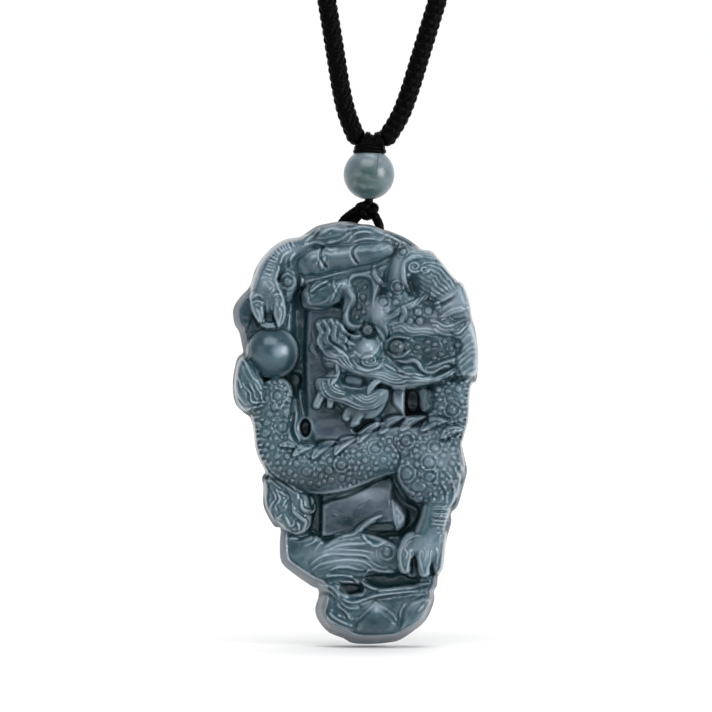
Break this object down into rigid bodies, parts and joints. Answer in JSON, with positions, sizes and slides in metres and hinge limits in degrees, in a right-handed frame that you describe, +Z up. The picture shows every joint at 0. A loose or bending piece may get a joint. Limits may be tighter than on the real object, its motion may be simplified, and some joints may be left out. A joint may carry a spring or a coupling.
{
  "type": "jade dragon pendant necklace",
  "caption": "Carved jade dragon pendant hanging by a thin cord loop below a jade bead on a braided black neck cord.",
  "frame": {"origin": "underside of the neck cord at the top of its loop, where it rests on the back of the neck", "axes": "+Z up, +X to the viewer's right, carved front facing -Y"},
  "size_m": [0.1134, 0.013, 0.3596],
  "materials": {
    "carved_jade": "polished",
    "bead_jade": "polished",
    "cord": "braided"
  },
  "bodies": {
    "necklace": {"neck_cord": "cord", "binding_knot": "cord", "jade_bead": "bead_jade", "hanging_loop": "cord", "loop_knot": "cord"},
    "pendant": {"jade_pendant": "carved_jade"}
  },
  "joints": [
    {"name": "pendant_swing", "type": "hinge", "parent": "necklace", "child": "pendant", "pos_m": [-0.00095, 0, -0.2925], "axis": [1, 0, 0], "range_deg": [-15, 15]}
  ]
}
